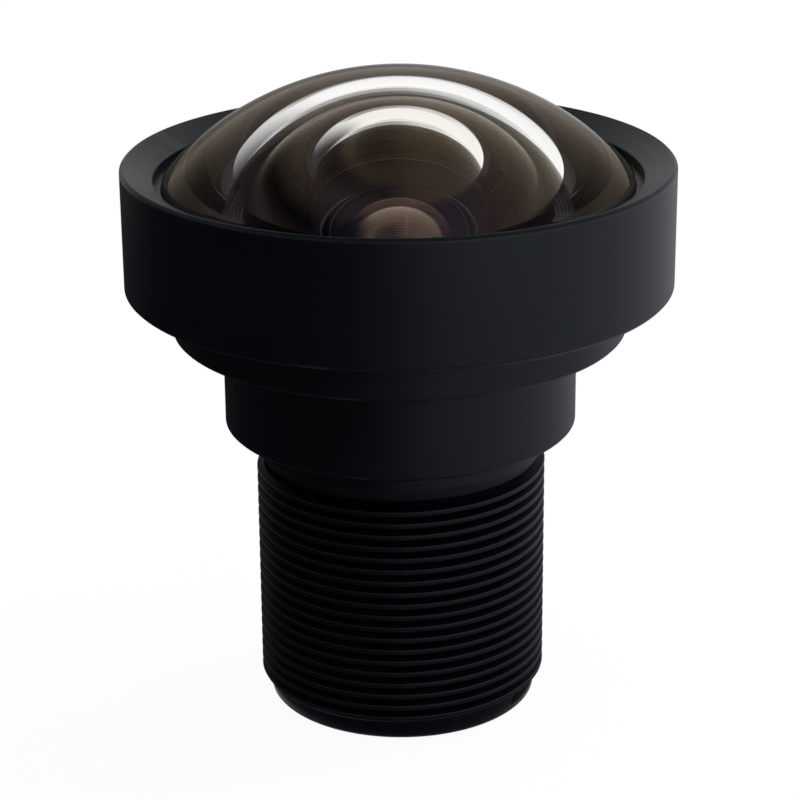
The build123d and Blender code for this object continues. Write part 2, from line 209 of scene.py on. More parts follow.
def combined(tree, operation, first, second):
    """The result of a sum, product or the like on two values."""
    made = node(tree, "Math", operation=operation)
    tree.links.new(first, made.inputs[0])
    tree.links.new(second, made.inputs[1])
    return made.outputs[0]


def two_tones(tree, factor, first, last, span=(0, 1)):
    """A colour that goes from the first to the last while the factor crosses the span."""
    tones = node(tree, "ValToRGB")
    for stop, colour, at in zip(tones.color_ramp.elements, (first, last), span):
        stop.position = at
        stop.color = (*colour, 1)
    tree.links.new(factor, tones.inputs["Fac"])
    return tones.outputs["Color"]


def blend(tree, factor, first, second):
    """The first colour where the factor is 0 and the second where it is 1."""
    made = node(tree, "Mix", data_type="RGBA")
    tree.links.new(factor, made.inputs[0])
    for socket, colour in zip([s for s in made.inputs if s.type == "RGBA"], (first, second)):
        tree.links.new(colour, socket)
    return next(s for s in made.outputs if s.type == "RGBA")


def seen_directly(tree):
    """1 for camera, glossy and transmission rays, 0 for the rest."""
    ray = node(tree, "LightPath")
    mirrored = combined(tree, "MAXIMUM", ray.outputs["Is Camera Ray"], ray.outputs["Is Glossy Ray"])
    return combined(tree, "MAXIMUM", mirrored, ray.outputs["Is Transmission Ray"])


# Black metal: patterns per metre, the depth of the marks in metres, and how far tone and sheen drift.
# The coat is rubbed where an edge's pointiness crosses its span.
SHEEN_TINT = (0.86, 0.93, 1.0)
TOOL_RINGS = 14000
TOOL_RINGS_AROUND = 0.6
TOOL_MARK_STRENGTH = 0.25
PORES = 9000.0
PORE_STRENGTH = 0.35
MARK_DEPTH = 0.000004
DYE_CLOUDS = 260.0
DYE_SPAN = (0.35, 0.7)
DYE_DRIFT = 1.6
RUBBED_SPAN = (0.53, 0.6)
SMOOTHER = 0.06
ROUGHER = 0.08


def turned_black(name, colour, worn, roughness, specular, grain=1.0):
    """Black anodised metal: fine tool rings, a dyed coat that varies a little, and paler edges."""
    material, tree, shader = new_material(name)
    shader.inputs["Specular IOR Level"].default_value = specular
    shader.inputs["Specular Tint"].default_value = (*SHEEN_TINT, 1)
    rings = node(tree, "TexNoise", Scale=1.0, Detail=3.0, Roughness=0.65)
    lathe = lathe_coordinates(tree, TOOL_RINGS, TOOL_RINGS, TOOL_RINGS_AROUND)
    tree.links.new(lathe, rings.inputs["Vector"])
    place = node(tree, "TexCoord")
    fine = node(tree, "TexNoise", Scale=PORES, Detail=2.0)
    broad = node(tree, "TexNoise", Scale=DYE_CLOUDS, Detail=3.0)
    for texture in (fine, broad):
        tree.links.new(place.outputs["Object"], texture.inputs["Vector"])

    tone = two_tones(tree, broad.outputs["Fac"], colour, [c * DYE_DRIFT for c in colour], DYE_SPAN)
    wear = node(tree, "NewGeometry")
    edge = two_tones(tree, wear.outputs["Pointiness"], (0, 0, 0), (1, 1, 1), RUBBED_SPAN)
    bare = node(tree, "RGB")
    bare.outputs[0].default_value = (*worn, 1)
    tree.links.new(blend(tree, edge, tone, bare.outputs[0]), shader.inputs["Base Color"])

    sheen = node(tree, "MapRange")
    sheen.inputs["To Min"].default_value = roughness - SMOOTHER
    sheen.inputs["To Max"].default_value = roughness + ROUGHER
    tree.links.new(rings.outputs["Fac"], sheen.inputs["Value"])
    tree.links.new(sheen.outputs["Result"], shader.inputs["Roughness"])

    tool_marks = node(tree, "Bump", Strength=TOOL_MARK_STRENGTH * grain, Distance=MARK_DEPTH)
    pores = node(tree, "Bump", Strength=PORE_STRENGTH * grain, Distance=MARK_DEPTH)
    tree.links.new(rings.outputs["Fac"], tool_marks.inputs["Height"])
    tree.links.new(fine.outputs["Fac"], pores.inputs["Height"])
    tree.links.new(tool_marks.outputs["Normal"], pores.inputs["Normal"])
    tree.links.new(pores.outputs["Normal"], shader.inputs["Normal"])
    return material


# Glass: its coating, and the clouds in its tint, which dim it by no more than that share
COATING_NM = 110.0
COATING_IOR = 1.38
TINT_CLOUDS = 120.0
TINT_SPAN = (0.3, 0.7)
TINT_DIMMEST = 0.985


def coated_glass(name, index, reflection, tint):
    """Optical glass with a thin coating that keeps its reflections weak, and a faint uneven tint."""
    material, tree, shader = new_material(name)
    shader.inputs["Transmission Weight"].default_value = 1.0
    shader.inputs["Roughness"].default_value = 0.0
    shader.inputs["IOR"].default_value = index
    shader.inputs["Specular Tint"].default_value = (*reflection, 1)
    shader.inputs["Thin Film Thickness"].default_value = COATING_NM
    shader.inputs["Thin Film IOR"].default_value = COATING_IOR
    place = node(tree, "TexCoord")
    cloud = node(tree, "TexNoise", Scale=TINT_CLOUDS, Detail=2.0)
    tree.links.new(place.outputs["Object"], cloud.inputs["Vector"])
    tone = two_tones(tree, cloud.outputs["Fac"], [c * TINT_DIMMEST for c in tint], tint, TINT_SPAN)
    tree.links.new(tone, shader.inputs["Base Color"])
    return material


# Ink, film, rubber and glue: patterns per metre, the skin's depth in metres, and how far they drift
INK_RINGS = 5000
INK_RINGS_AROUND = 1.5
INK_DRIFT = 0.3
INK_ROUGHNESS_DRIFT = 0.1
INK_SPECULAR = 0.3
INK_SKIN_DEPTH = 0.000005
INK_SKIN_STRENGTH = 0.2


def blacking(name, colour, roughness):
    """Ink on a lens edge, film or glue, put on while the piece turns: uneven, with a dull skin."""
    material, tree, shader = new_material(name)
    shader.inputs["Specular IOR Level"].default_value = INK_SPECULAR
    mottle = node(tree, "TexNoise", Scale=1.0, Detail=4.0)
    lathe = lathe_coordinates(tree, INK_RINGS, INK_RINGS, INK_RINGS_AROUND)
    tree.links.new(lathe, mottle.inputs["Vector"])
    darker = [c * (1 - INK_DRIFT) for c in colour]
    paler = [c * (1 + INK_DRIFT) for c in colour]
    tree.links.new(two_tones(tree, mottle.outputs["Fac"], darker, paler), shader.inputs["Base Color"])
    rough = node(tree, "MapRange")
    rough.inputs["To Min"].default_value = roughness - INK_ROUGHNESS_DRIFT
    rough.inputs["To Max"].default_value = roughness + INK_ROUGHNESS_DRIFT
    tree.links.new(mottle.outputs["Fac"], rough.inputs["Value"])
    tree.links.new(rough.outputs["Result"], shader.inputs["Roughness"])
    skin = node(tree, "Bump", Strength=INK_SKIN_STRENGTH, Distance=INK_SKIN_DEPTH)
    tree.links.new(mottle.outputs["Fac"], skin.inputs["Height"])
    tree.links.new(skin.outputs["Normal"], shader.inputs["Normal"])
    return material


# Finishes: the colour, the colour where it is rubbed, the roughness and the strength of reflections.
# The last five have a colour and a roughness only.
RUBBED = (0.012, 0.014, 0.017)
barrel_black = turned_black("barrel_black", (0.0012, 0.0022, 0.0040), RUBBED, 0.4, 0.3)
ring_black = turned_black("ring_black", (0.0012, 0.0022, 0.0044), RUBBED, 0.38, 0.3)
# A copy of the ring's finish that reflects less, for the rim's slope and the rear tip: painted shade
lip_black_painted_shade = turned_black("lip_black_painted_shade", (0.0012, 0.0022, 0.0044), RUBBED, 0.38, 0.11)
# A darker copy of the barrel's finish: painted shade on the thread
thread_black_painted_shade = turned_black("thread_black_painted_shade", (0.0008, 0.0016, 0.0028), (0.007, 0.008, 0.01), 0.42, 0.25)
# Darker still and reflecting almost nothing: painted shade in the thread's valleys
valley_black_painted_shade = turned_black("valley_black_painted_shade", (0.0004, 0.0008, 0.0016), (0.0008, 0.0012, 0.002), 0.5, 0.03)
inside_black = turned_black("inside_black", (0.03, 0.028, 0.026), (0.05, 0.046, 0.043), 0.5, 0.3)
# A mid grey on the black web spacer: painted light, as if lit through the glass
bore_grey_painted_light = turned_black("bore_grey_painted_light", (0.18, 0.16, 0.135), (0.3, 0.27, 0.23), 0.45, 0.4)
brass_black = turned_black("brass_black", (0.008, 0.0065, 0.005), (0.03, 0.024, 0.015), 0.5, 0.25)
# Pale grey on the black light shields: painted light, as if lit through the glass
film_edge_painted_light = turned_black("film_edge_painted_light", (0.3, 0.29, 0.27), (0.4, 0.39, 0.36), 0.5, 0.3, grain=0.2)
edge_ink = blacking("edge_ink", (0.01, 0.0085, 0.007), 0.5)
seat_ink = blacking("seat_ink", (0.03, 0.022, 0.014), 0.5)
film_black = blacking("film_black", (0.008, 0.008, 0.008), 0.75)
rubber_black = blacking("rubber_black", (0.012, 0.012, 0.012), 0.8)
glue_black = blacking("glue_black", (0.02, 0.02, 0.021), 0.3)

# Glass: the refractive index, the colour of reflections and the tint
CLEAR_TINT = (1.0, 0.985, 0.96)
front_glass = coated_glass("front_glass", 1.7, (0.33, 0.34, 0.31), CLEAR_TINT)
second_glass = coated_glass("second_glass", 1.69, (0.45, 0.46, 0.44), CLEAR_TINT)
third_glass = coated_glass("third_glass", 1.7, (1.15, 1.07, 0.93), CLEAR_TINT)
inner_glass = coated_glass("inner_glass", 1.7, (1.0, 1.0, 0.85), CLEAR_TINT)
filter_glass = coated_glass("filter_glass_red", 1.52, (1.6, 0.9, 1.0), (0.95, 0.55, 0.62))


# Glass elements, with their edges inked

def element(name, front, wall, rear, glass, segments=SEGMENTS):
    """A lens element: front cap, wall from front to rear, rear cap back to the axis. The wall is inked,
    and the seat at its rear end, which shows through the glass, has the browner ink."""
    profile = front + wall + list(reversed(rear))
    piece = turned(name + "_glass", profile, closed=False, segments=segments)
    piece.data.materials.append(glass)
    piece.data.materials.append(edge_ink)
    piece.data.materials.append(seat_ink)
    first = (len(front) - 1) * segments
    last = first + (len(wall) + 1) * segments
    for face in piece.data.polygons[first:last]:
        face.material_index = 1
    for face in piece.data.polygons[last - segments:last]:
        face.material_index = 2
    return stands_for(piece, name)


# A hair's gap between faces that touch, so that only one of them shows through the glass
CONTACT_GAP = 0.005

# Front element, finely divided because light runs round inside it
FRONT_SEGMENTS = 512
FRONT_STEPS = 160
DOME_RADIUS = 12.74
DOME_TOP_Z = 26.42
DOME_EDGE_R = 9.34
DOME_BEVEL_R = 9.46
DOME_FLANGE_R = 9.95
DOME_CHAMFER = 0.1
DOME_LIP_Z = 21.95
DOME_SEAT_Z = 20.9
DOME_HOLLOW_RADIUS = 8.05
DOME_HOLLOW_Z = 25.1
dome_lip_z = DOME_LIP_Z - CONTACT_GAP
dome_seat_z = DOME_SEAT_Z + CONTACT_GAP
element(
    "front_element",
    cap(DOME_TOP_Z, DOME_RADIUS, DOME_EDGE_R, FRONT_STEPS),
    [
        (DOME_BEVEL_R, dome_lip_z), (DOME_FLANGE_R, dome_lip_z), (DOME_FLANGE_R, DOME_SEAT_Z + DOME_CHAMFER),
        (DOME_FLANGE_R - DOME_CHAMFER, dome_seat_z),
    ],
    hollow(DOME_HOLLOW_Z, DOME_HOLLOW_RADIUS, dome_seat_z, FRONT_STEPS),
    front_glass,
    FRONT_SEGMENTS,
)

# Second element
SECOND_TOP_Z = 24.48
SECOND_RADIUS = 7.4
SECOND_EDGE_R = 6.4
SECOND_R = 6.95
SECOND_SHOULDER_Z = 19.7
SECOND_SEAT_Z = 19.0
SECOND_HOLLOW_Z = 22.87
SECOND_HOLLOW_RADIUS = 4.1
element(
    "second_element",
    cap(SECOND_TOP_Z, SECOND_RADIUS, SECOND_EDGE_R),
    [(SECOND_EDGE_R, SECOND_SHOULDER_Z), (SECOND_R, SECOND_SHOULDER_Z), (SECOND_R, SECOND_SEAT_Z)],
    hollow(SECOND_HOLLOW_Z, SECOND_HOLLOW_RADIUS, SECOND_SEAT_Z),
    second_glass,
)

# Third element, as wide as the spacers and shields round it
STACK_R = 6.4
THIRD_TOP_Z = 18.6
THIRD_RADIUS = 6.05
THIRD_EDGE_R = 4.35
THIRD_SHOULDER_Z = 16.65
THIRD_SEAT_Z = 15.5
THIRD_HOLLOW_Z = 17.5
THIRD_HOLLOW_RADIUS = 4.9
element(
    "third_element",
    cap(THIRD_TOP_Z, THIRD_RADIUS, THIRD_EDGE_R),
    [(THIRD_EDGE_R, THIRD_SHOULDER_Z), (STACK_R, THIRD_SHOULDER_Z), (STACK_R, THIRD_SEAT_Z)],
    hollow(THIRD_HOLLOW_Z, THIRD_HOLLOW_RADIUS, THIRD_SEAT_Z),
    third_glass,
)

# Elements behind the web, more coarsely divided because they lie deep inside. Each face has the
# height of its edge, the radius of its curve, negative where it is lowest on the axis, and how far
# out it goes. The sixth and seventh are cemented, so they share a curve.
REAR_STACK_R = 5.0
REAR_SEGMENTS = 128
REAR_STEPS = 32
SEVENTH_R = 4.2
CEMENTED_RADIUS = 7.0
CEMENTED_EDGE_Z = 3.3
REAR_ELEMENTS = (
    ("fourth_element", (12.3, 9.0, 4.0), (10.6, -11.0, 4.2)),
    ("fifth_element", (8.3, 16.0, 3.7), (6.7, -8.0, 3.9)),
    ("sixth_element", (6.3, -7.5, 3.9), (CEMENTED_EDGE_Z, CEMENTED_RADIUS, SEVENTH_R)),
)
for name, front, rear in REAR_ELEMENTS:
    wall = [(REAR_STACK_R, front[0]), (REAR_STACK_R, rear[0])]
    element(name, bulge(*front, REAR_STEPS), wall, bulge(*rear, REAR_STEPS), inner_glass, REAR_SEGMENTS)

SEVENTH_REAR_Z = 2.9
SEVENTH_REAR_RADIUS = -9.0
element(
    "seventh_element",
    bulge(CEMENTED_EDGE_Z - CONTACT_GAP, CEMENTED_RADIUS, SEVENTH_R, REAR_STEPS),
    [(SEVENTH_R, SEVENTH_REAR_Z)],
    bulge(SEVENTH_REAR_Z, SEVENTH_REAR_RADIUS, SEVENTH_R, REAR_STEPS),
    inner_glass,
    REAR_SEGMENTS,
)

# Thread, a helical strip whose lowest edge meets one ring and whose highest edge meets another
THREAD_PITCH = 0.5
THREAD_TURNS = 20
THREAD_CREST_R = 5.95
THREAD_ROOT_R = 5.68
THREAD_FLANK_ANGLE = math.radians(30)
THREAD_EASE = 0.03
THREAD_SEGMENTS = 192
THREAD_START_TURN = 0.15
THREAD_ROOT_Z = 0.45
THREAD_FADE = 0.15
THREAD_SMOOTH_ANGLE = 35
CREST_HALF = THREAD_PITCH * 0.17
FLANK = (THREAD_CREST_R - THREAD_ROOT_R) * math.tan(THREAD_FLANK_ANGLE)
PILOT_R = 5.55
LEAD_IN_LOW = (PILOT_R, 0.45)
LEAD_IN_HIGH = (THREAD_CREST_R, 1.0)


def thread_section():
    """One pitch of the thread, from root to root: (height, radius), with eased corners."""
    middle = THREAD_PITCH / 2
    crest = [(middle - CREST_HALF, THREAD_CREST_R), (middle + CREST_HALF, THREAD_CREST_R)]
    foot = [(middle - CREST_HALF - FLANK, THREAD_ROOT_R), (middle + CREST_HALF + FLANK, THREAD_ROOT_R)]
    chain = [(0, THREAD_ROOT_R), foot[0], crest[0], crest[1], foot[1], (THREAD_PITCH, THREAD_ROOT_R)]
    return eased(chain, THREAD_EASE, steps=2, guard=THREAD_PITCH)


def lead_in(z):
    """Radius of the turned tip and its cone at that height."""
    if z >= LEAD_IN_HIGH[1]:
        return LEAD_IN_HIGH[0]
    share = max(0.0, z - LEAD_IN_LOW[1]) / (LEAD_IN_HIGH[1] - LEAD_IN_LOW[1])
    return LEAD_IN_LOW[0] + share * (LEAD_IN_HIGH[0] - LEAD_IN_LOW[0])


def threaded_barrel(name, chain):
    """The barrel: a turned chain that starts just above the thread and ends just below it. The strip is
    a grid of points, and a wedge of flat face at each end joins it to the rings of the chain."""
    count = THREAD_SEGMENTS
    verts, faces = [], []

    def ring(r, z):
        first = len(verts)
        for i in range(count):
            a = 2 * math.pi * (i / count + THREAD_START_TURN)
            verts.append((r * math.cos(a), r * math.sin(a), z))
        return list(range(first, first + count))

    rings = [ring(r, z) for r, z in chain]
    for low, high in zip(rings, rings[1:]):
        for i in range(count):
            j = (i + 1) % count
            faces.append((low[i], low[j], high[j], high[i]))
    above, below = rings[0], rings[-1]

    section = thread_section()[:-1]
    full = count * (THREAD_TURNS - 1)
    fade = count * THREAD_FADE
    grid = {}
    for i in range(full + count + 1):
        turn = i / count + THREAD_START_TURN
        a = 2 * math.pi * turn
        left = min(1.0, max(0.0, (full - i) / fade))
        for j, (rise, radius) in enumerate(section):
            if i > full and j > 0:
                break
            z = THREAD_ROOT_Z + THREAD_PITCH * turn + rise
            r = min(THREAD_ROOT_R + (radius - THREAD_ROOT_R) * left, lead_in(z))
            grid[i, j] = len(verts)
            verts.append((r * math.cos(a), r * math.sin(a), z))
    last = len(section) - 1
    for i in range(full):
        for j in range(last):
            faces.append((grid[i, j], grid[i + 1, j], grid[i + 1, j + 1], grid[i, j + 1]))
        faces.append((grid[i, last], grid[i + 1, last], grid[i + 1 + count, 0], grid[i + count, 0]))
    for i in range(count - 1):
        faces.append((below[i], below[i + 1], grid[i + 1, 0], grid[i, 0]))
    start_line = [grid[0, j] for j in range(last + 1)]
    faces.append([below[-1], below[0], *start_line, grid[count, 0], grid[count - 1, 0]])
    for i in range(1, count):
        j = (i + 1) % count
        faces.append((grid[full + i, 0], grid[full + i + 1, 0], above[j], above[i]))
    end_line = [grid[full, j] for j in range(last, -1, -1)]
    faces.append([above[1], above[0], grid[full + count, 0], *end_line, grid[full + 1, 0]])
    return new_piece(name, verts, faces, THREAD_SMOOTH_ANGLE)


# Barrel: sizes outside, then inside from the front down, then at the rear tip
EASE = 0.05
EDGE_CHAMFER = 0.15
NECK_TAPER_LOW_Z = 10.56
NECK_R = 5.98
NECK_LOW_Z = 11.1
COLLAR_R = 7.18
COLLAR_LOW_Z = 11.95
STEP_R = 9.18
STEP_LOW_Z = 15.96
HEAD_R = 10.55
HEAD_LOW_Z = 17.82
HEAD_TOP_Z = 21.9
SEAT_R = 9.97
SEAL_GROOVE_OUT_R = 8.95
SEAL_GROOVE_IN_R = 8.2
SEAL_GROOVE_LOW_Z = 20.4
RING_BORE_R = 7.6
RING_BORE_Z = 19.5
SECOND_BORE_R = 6.97
STACK_BORE_R = 6.42
WEB_TOP_Z = 13.0
WEB_LOW_Z = 12.3
WEB_BORE_R = 4.2
REAR_BORE_R = 5.02
TIP_CHAMFER = 0.1
TIP_TOP_Z = 0.3
outside = [
    (THREAD_ROOT_R, NECK_TAPER_LOW_Z), (NECK_R, NECK_LOW_Z), (NECK_R, COLLAR_LOW_Z),
    (COLLAR_R - EDGE_CHAMFER, COLLAR_LOW_Z), (COLLAR_R, COLLAR_LOW_Z + EDGE_CHAMFER), (COLLAR_R, STEP_LOW_Z),
    (STEP_R - EDGE_CHAMFER, STEP_LOW_Z), (STEP_R, STEP_LOW_Z + EDGE_CHAMFER), (STEP_R, HEAD_LOW_Z),
    (HEAD_R, HEAD_LOW_Z), (HEAD_R, HEAD_TOP_Z),
]
seal_groove = [
    (SEAL_GROOVE_OUT_R, DOME_SEAT_Z), (SEAL_GROOVE_OUT_R, SEAL_GROOVE_LOW_Z),
    (SEAL_GROOVE_IN_R, SEAL_GROOVE_LOW_Z), (SEAL_GROOVE_IN_R, DOME_SEAT_Z),
]
bores = [
    (SEAT_R, HEAD_TOP_Z), (SEAT_R, DOME_SEAT_Z), *seal_groove,
    (RING_BORE_R, DOME_SEAT_Z), (RING_BORE_R, RING_BORE_Z), (SECOND_BORE_R, RING_BORE_Z),
    (SECOND_BORE_R, SECOND_SEAT_Z), (STACK_BORE_R, SECOND_SEAT_Z), (STACK_BORE_R, WEB_TOP_Z),
    (WEB_BORE_R, WEB_TOP_Z), (WEB_BORE_R, WEB_LOW_Z), (REAR_BORE_R, WEB_LOW_Z), (REAR_BORE_R, 0),
]
tip = [(PILOT_R - TIP_CHAMFER, 0), (PILOT_R, TIP_CHAMFER), (PILOT_R, TIP_TOP_Z)]
barrel = threaded_barrel("barrel", eased(outside + bores + tip, EASE))
for finish in (barrel_black, thread_black_painted_shade, valley_black_painted_shade, lip_black_painted_shade):
    barrel.data.materials.append(finish)

# The thread's crest takes the second finish, a darker copy of the barrel's: painted shade on the thread.
# Its valleys take the third, darker still and reflecting almost nothing: painted shade in the valleys.
# The rear tip takes the fourth, which reflects less: painted shade on the tip.
THREAD_SKIN_R = 5.3
CREST_SKIN_R = 5.9
TIP_SKIN_Z = 0.6
for face in barrel.data.polygons:
    face_r, face_z = face.center.xy.length / MM, face.center.z / MM
    if face_z < NECK_TAPER_LOW_Z and face_r > THREAD_SKIN_R:
        face.material_index = 3 if face_z < TIP_SKIN_Z else 1 if face_r > CREST_SKIN_R else 2
stands_for(barrel, "main_barrel")

# Front ring, a hair narrower than its solid. Its outline starts part of the way up the wall and ends
# just below its start. The slope of its rim takes the second finish, which reflects less than the
# rest of the ring: painted shade on the rim's top.
RIM_R = 11.055
RIM_CHAMFER_R = 10.91
RIM_TOP_Z = 22.93
RIM_LIP_R = 9.75
RIM_LIP_TOP_Z = 22.35
RIM_START_Z = 20.4
RIM_START_GAP = 0.02
SLOPE_LEAST_RISE = 0.5
rim_end_z = RIM_START_Z - RIM_START_GAP
front_ring = turned("front_ring", eased(
    [
        (RIM_R, RIM_START_Z), (RIM_R, RIM_TOP_Z - EDGE_CHAMFER), (RIM_CHAMFER_R, RIM_TOP_Z),
        (RIM_LIP_R, RIM_LIP_TOP_Z), (RIM_LIP_R, DOME_LIP_Z), (HEAD_R, DOME_LIP_Z), (HEAD_R, HEAD_LOW_Z),
        (RIM_CHAMFER_R, HEAD_LOW_Z), (RIM_R, HEAD_LOW_Z + EDGE_CHAMFER), (RIM_R, rim_end_z),
    ],
    EASE,
))
front_ring.data.materials.append(ring_black)
front_ring.data.materials.append(lip_black_painted_shade)
for face in front_ring.data.polygons:
    if face.center.z > (RIM_LIP_TOP_Z - EASE) * MM and face.normal.z > SLOPE_LEAST_RISE:
        face.material_index = 1
stands_for(front_ring, "front_retaining_ring")

# Rings round the front elements, turned smooth because they show through the dome. The two spacers
# have fine grooves, each with half its width as a share of their spacing.
SHIELD_THICKNESS = 0.1
GROOVES = 9
GROOVE_DEPTH = 0.05
GROOVE_HALF_SHARE = 0.2


def bored_ring(name, material, clear, low_z, high_z, grooves=0):
    """A ring whose hole tapers from clear[0] at the top to clear[1] at the bottom, with fine grooves."""
    top_r, low_r = clear
    bore = []
    for k in range(grooves):
        share = 1 - (k + 0.5) / grooves
        z = low_z + (high_z - low_z) * share
        r = low_r + (top_r - low_r) * share
        half = (high_z - low_z) / grooves * GROOVE_HALF_SHARE
        bore += [(r, z + half), (r + GROOVE_DEPTH, z), (r, z - half)]
    low, high = low_z + CONTACT_GAP, high_z - CONTACT_GAP
    ring = turned(name + "_ring", [(low_r, low), (STACK_R, low), (STACK_R, high), (top_r, high), *bore])
    ring.data.materials.append(material)
    return stands_for(ring, name)


spacer_top_z = SECOND_SEAT_Z - SHIELD_THICKNESS
spacer_low_z = THIRD_SHOULDER_Z + SHIELD_THICKNESS
# The light shields and the web spacer take pale greys: painted light, as if lit through the glass
bored_ring("front_light_shield", film_edge_painted_light, (4.2, 4.2), spacer_top_z, SECOND_SEAT_Z)
bored_ring("front_spacer", inside_black, (4.8, 4.6), spacer_low_z, spacer_top_z, GROOVES)
bored_ring("middle_light_shield", film_edge_painted_light, (4.45, 4.45), THIRD_SHOULDER_Z, spacer_low_z)
bored_ring("web_spacer", bore_grey_painted_light, (4.3, 4.3), WEB_TOP_Z, THIRD_SEAT_Z, GROOVES)

# Inner retaining ring: a stair of fine steps, with two spanner slots cut across its top
STAIR_STEPS = 5
STAIR_LOW = (6.5, 19.95)
STAIR_TOP = (7.1, 20.75)
INNER_RING_R = 7.6
SLOT_WIDTH = 0.9
SLOT_DEPTH = 0.5
SLOT_OVERRUN = 0.1
stair_width = (STAIR_TOP[0] - STAIR_LOW[0]) / STAIR_STEPS
stair_height = (STAIR_TOP[1] - STAIR_LOW[1]) / STAIR_STEPS
stair = []
for k in range(STAIR_STEPS):
    stair.append((STAIR_LOW[0] + k * stair_width, STAIR_LOW[1] + k * stair_height))
    stair.append((STAIR_LOW[0] + (k + 1) * stair_width, STAIR_LOW[1] + k * stair_height))
foot_z = SECOND_SHOULDER_Z + CONTACT_GAP
foot = [(STAIR_LOW[0], foot_z)]
crest = [STAIR_TOP, (INNER_RING_R, STAIR_TOP[1]), (INNER_RING_R, foot_z)]
inner_ring = turned("inner_ring", foot + stair + crest)


def slotted(piece, low, high):
    """Cuts a box out of a piece, given two corners of the box in millimetres."""
    low, high = Vector(low), Vector(high)
    cutter_mesh = bpy.data.meshes.new("cutter")
    shell = bmesh.new()
    bmesh.ops.create_cube(shell, size=MM)
    shell.to_mesh(cutter_mesh)
    shell.free()
    cutter = bpy.data.objects.new("cutter", cutter_mesh)
    bpy.context.scene.collection.objects.link(cutter)
    cutter.scale = high - low
    cutter.location = (low + high) / 2 * MM
    cut = piece.modifiers.new("slot", "BOOLEAN")
    cut.operation = "DIFFERENCE"
    cut.object = cutter
    bpy.context.view_layer.update()
    done = piece.evaluated_get(bpy.context.evaluated_depsgraph_get())
    piece.data = bpy.data.meshes.new_from_object(done)
    piece.modifiers.clear()
    bpy.data.objects.remove(cutter)


slot_low_z = STAIR_TOP[1] - SLOT_DEPTH
slot_high_z = STAIR_TOP[1] + SLOT_OVERRUN
slot_in_r = STAIR_TOP[0] - stair_width
for side_sign in (1, -1):
    near, far = sorted((side_sign * slot_in_r, side_sign * (INNER_RING_R + SLOT_OVERRUN)))
    slotted(inner_ring, (near, -SLOT_WIDTH / 2, slot_low_z), (far, SLOT_WIDTH / 2, slot_high_z))
inner_ring.data.materials.append(inside_black)
stands_for(inner_ring, "inner_retaining_ring")

# CAD nodes that keep their shape
FINISHES = {
    "front_o_ring": rubber_black,
    "middle_spacer": inside_black,
    "aperture_stop": brass_black,
    "stop_spacer": inside_black,
    "rear_light_shield": film_black,
    "doublet_spacer": inside_black,
    "rear_retaining_ring": barrel_black,
    "ir_cut_filter": filter_glass,
    "filter_adhesive": glue_black,
}
for name, material in FINISHES.items():
    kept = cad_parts[name]
    kept.data.materials.clear()
    kept.data.materials.append(material)

# Floor and world, white to the camera and in reflections. The floor still shows a part of its shadow,
# and the world throws less light on the lens than it seems to.
FLOOR_HALF = 0.6
PAPER_GREY = 0.8
PAPER_GLOW = 1.05
SHADOW_SHARE = 0.1
SKY_LIGHT = 0.45
SKY_WHITE = 1.0
corners = [(x * FLOOR_HALF, y * FLOOR_HALF, 0) for x, y in ((-1, -1), (1, -1), (1, 1), (-1, 1))]
floor_mesh = bpy.data.meshes.new("floor")
floor_mesh.from_pydata(corners, [], [(0, 1, 2, 3)])
floor = bpy.data.objects.new("floor", floor_mesh)
bpy.context.scene.collection.objects.link(floor)
paper, tree, shader = new_material("paper")
shader.inputs["Base Color"].default_value = (PAPER_GREY, PAPER_GREY, PAPER_GREY, 1)
floor.data.materials.append(paper)
shine = node(tree, "Emission", Strength=PAPER_GLOW)
shown = node(tree, "Math", operation="MULTIPLY")
shown.inputs[1].default_value = 1 - SHADOW_SHARE
either = node(tree, "MixShader")
tree.links.new(seen_directly(tree), shown.inputs[0])
tree.links.new(shown.outputs[0], either.inputs[0])
tree.links.new(shader.outputs[0], either.inputs[1])
tree.links.new(shine.outputs[0], either.inputs[2])
tree.links.new(either.outputs[0], tree.nodes["Material Output"].inputs["Surface"])

world = bpy.data.worlds.new("studio")
bpy.context.scene.world = world
world.use_nodes = True
sky_tree = world.node_tree
sky = sky_tree.nodes["Background"]
sky.inputs["Color"].default_value = (1, 1, 1, 1)
level = node(sky_tree, "MapRange")
level.inputs["To Min"].default_value = SKY_LIGHT
level.inputs["To Max"].default_value = SKY_WHITE
sky_tree.links.new(seen_directly(sky_tree), level.inputs["Value"])
sky_tree.links.new(level.outputs["Result"], sky.inputs["Strength"])

# A table top, cards on the left and low behind, and a ceiling, which only reflections show. They are
# dark on the left and lighter on the right. Lengths and heights are in metres, a card's direction is
# where it is densest, and its cosines say how far to the side it starts and is full.
TABLE_NEAR = 0.0057
TABLE_FAR = 0.15
TABLE_Z = 0.00005
TABLE_SOLID_SHARE = 0.66
CARD_TOP = 0.15
CARD_SOLID_SHARE = 0.5
CARD_SIDE = (-0.906, -0.423, 0)
CARD_COSINES = (0, 0.65)
BEHIND = (0, 1, 0)
LOW_CARD_COSINES = (0.77, 0.94)
LOW_CARD_DENSITY = 0.65
LOW_CARD_TOP = 0.045
LOW_CARD_SOLID_Z = 0.027
ROOF_BLEND_SHARE = 0.6
RIGHT_EDGE = 0.045
LEFT_EDGE = -0.03
TABLE_LEFT_EDGE = -0.016
TABLE_RIGHT_SHADE = (0.57, 0.6, 0.64)
TABLE_LEFT_SHADE = (0.022, 0.024, 0.028)
ROOF_RIGHT_SHADE = (1.0, 1.0, 0.9)
ROOF_LEFT_SHADE = (0.4, 0.41, 0.4)
SURROUND_SEGMENTS = 96
surround_profile = [(TABLE_NEAR, TABLE_Z), (TABLE_FAR, TABLE_Z), (TABLE_FAR, CARD_TOP), (0, CARD_TOP)]
in_mm = [(r / MM, z / MM) for r, z in surround_profile]
surround = turned("surround", in_mm, closed=False, segments=SURROUND_SEGMENTS)
surround.visible_camera = False
